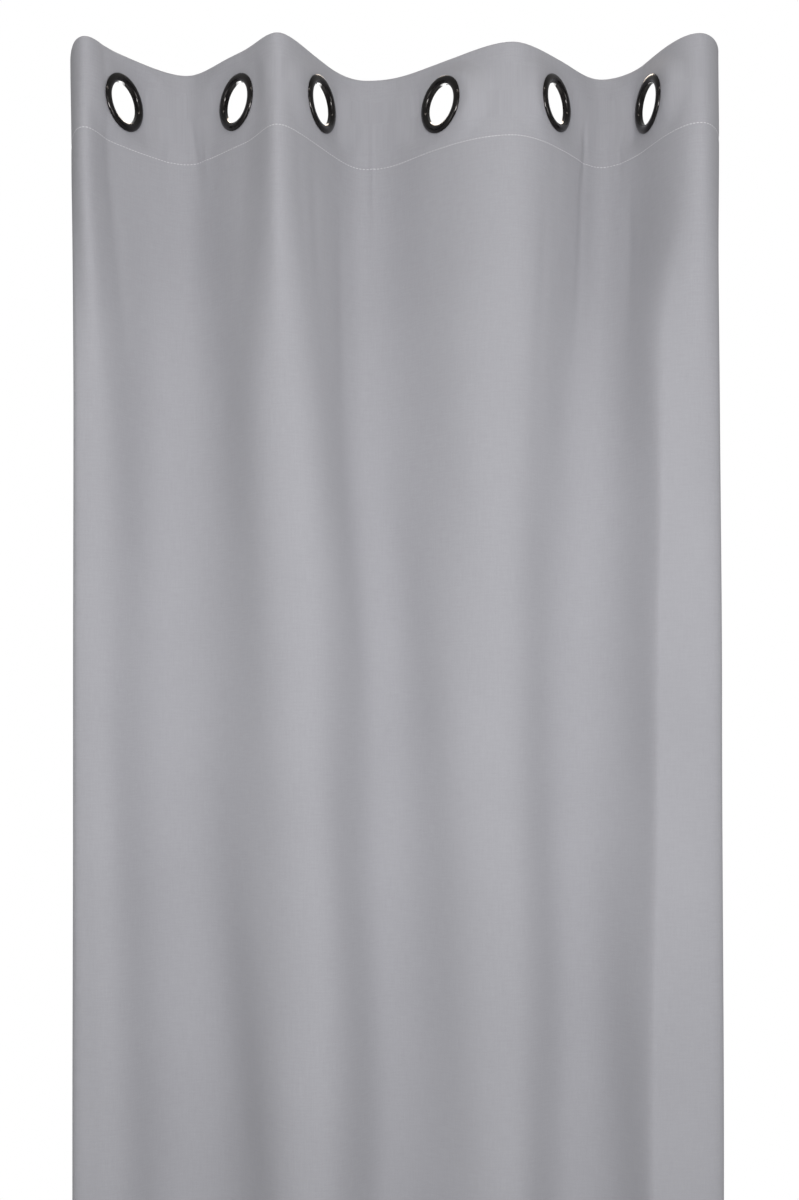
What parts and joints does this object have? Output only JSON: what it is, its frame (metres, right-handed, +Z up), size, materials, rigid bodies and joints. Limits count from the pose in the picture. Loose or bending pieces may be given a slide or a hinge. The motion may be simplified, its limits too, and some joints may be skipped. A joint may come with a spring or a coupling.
{
  "type": "eyelet curtain panel",
  "caption": "Hanging curtain panel of plain woven cloth in soft upright folds, with a stitched double header, metal eyelets for a rod, side and bottom hems; it draws along the rod.",
  "frame": {"origin": "on the curtain rod's axis, midway between the panel's side edges", "axes": "+X along the rod, +Y to the back of the panel, +Z up"},
  "size_m": [0.5599, 0.0852, 2.4],
  "materials": {
    "cloth": "matt plain weave, light cool grey",
    "thread": "pale sewing thread",
    "band": "white non-woven stiffener",
    "eyelet_metal": "polished dark gunmetal plating"
  },
  "bodies": {
    "left_edge": {"cloth_drop_left_edge": "cloth", "header_face_left_edge": "cloth", "header_facing_left_edge": "cloth", "bottom_hem_left_edge": "cloth", "header_stitch_left_edge": "thread", "side_hem_left_edge": "cloth"},
    "fold_1": {"cloth_drop_fold_1": "cloth", "header_face_fold_1": "cloth", "header_facing_fold_1": "cloth", "bottom_hem_fold_1": "cloth", "header_stitch_fold_1": "thread", "header_band_fold_1": "band", "eyelet_ring_1": "eyelet_metal", "eyelet_washer_1": "eyelet_metal"},
    "fold_2": {"cloth_drop_fold_2": "cloth", "header_face_fold_2": "cloth", "header_facing_fold_2": "cloth", "bottom_hem_fold_2": "cloth", "header_stitch_fold_2": "thread", "header_band_fold_2": "band", "eyelet_ring_2": "eyelet_metal", "eyelet_washer_2": "eyelet_metal"},
    "fold_3": {"cloth_drop_fold_3": "cloth", "header_face_fold_3": "cloth", "header_facing_fold_3": "cloth", "bottom_hem_fold_3": "cloth", "header_stitch_fold_3": "thread", "header_band_fold_3": "band", "eyelet_ring_3": "eyelet_metal", "eyelet_washer_3": "eyelet_metal"},
    "fold_4": {"cloth_drop_fold_4": "cloth", "header_face_fold_4": "cloth", "header_facing_fold_4": "cloth", "bottom_hem_fold_4": "cloth", "header_stitch_fold_4": "thread", "header_band_fold_4": "band", "eyelet_ring_4": "eyelet_metal", "eyelet_washer_4": "eyelet_metal"},
    "fold_5": {"cloth_drop_fold_5": "cloth", "header_face_fold_5": "cloth", "header_facing_fold_5": "cloth", "bottom_hem_fold_5": "cloth", "header_stitch_fold_5": "thread", "header_band_fold_5": "band", "eyelet_ring_5": "eyelet_metal", "eyelet_washer_5": "eyelet_metal"},
    "fold_6": {"cloth_drop_fold_6": "cloth", "header_face_fold_6": "cloth", "header_facing_fold_6": "cloth", "bottom_hem_fold_6": "cloth", "header_stitch_fold_6": "thread", "header_band_fold_6": "band", "eyelet_ring_6": "eyelet_metal", "eyelet_washer_6": "eyelet_metal"},
    "right_edge": {"cloth_drop_right_edge": "cloth", "header_face_right_edge": "cloth", "header_facing_right_edge": "cloth", "bottom_hem_right_edge": "cloth", "header_stitch_right_edge": "thread", "side_hem_right_edge": "cloth"}
  },
  "joints": [
    {"name": "gather", "type": "hinge", "parent": "left_edge", "child": "fold_1", "pos_m": [-0.2623, -0.036, 0], "axis": [0, 0, 1], "range_deg": [-12, 26]},
    {"name": "valley_1", "type": "hinge", "parent": "fold_1", "child": "fold_2", "pos_m": [-0.1865, 0.03, 0], "axis": [0, 0, 1], "range_deg": [-52.2, 24.2]},
    {"name": "crest_2", "type": "hinge", "parent": "fold_2", "child": "fold_3", "pos_m": [-0.0988, -0.044, 0], "axis": [0, 0, 1], "range_deg": [-24.2, 52.2]},
    {"name": "valley_2", "type": "hinge", "parent": "fold_3", "child": "fold_4", "pos_m": [-0.0253, 0.035, 0], "axis": [0, 0, 1], "range_deg": [-47, 21.8]},
    {"name": "crest_3", "type": "hinge", "parent": "fold_4", "child": "fold_5", "pos_m": [0.1004, -0.029, 0], "axis": [0, 0, 1], "range_deg": [-21.8, 47]},
    {"name": "valley_3", "type": "hinge", "parent": "fold_5", "child": "fold_6", "pos_m": [0.1855, 0.037, 0], "axis": [0, 0, 1], "range_deg": [-57.4, 26.6]},
    {"name": "crest_4", "type": "hinge", "parent": "fold_6", "child": "right_edge", "pos_m": [0.257, -0.042, 0], "axis": [0, 0, 1], "range_deg": [-14.6, 31.4]}
  ],
  "couplings": [
    {"joint": "valley_1", "follows": "gather", "ratio": -2},
    {"joint": "crest_2", "follows": "gather", "ratio": 2},
    {"joint": "valley_2", "follows": "gather", "ratio": -1.8},
    {"joint": "crest_3", "follows": "gather", "ratio": 1.8},
    {"joint": "valley_3", "follows": "gather", "ratio": -2.2},
    {"joint": "crest_4", "follows": "gather", "ratio": 1.2}
  ]
}
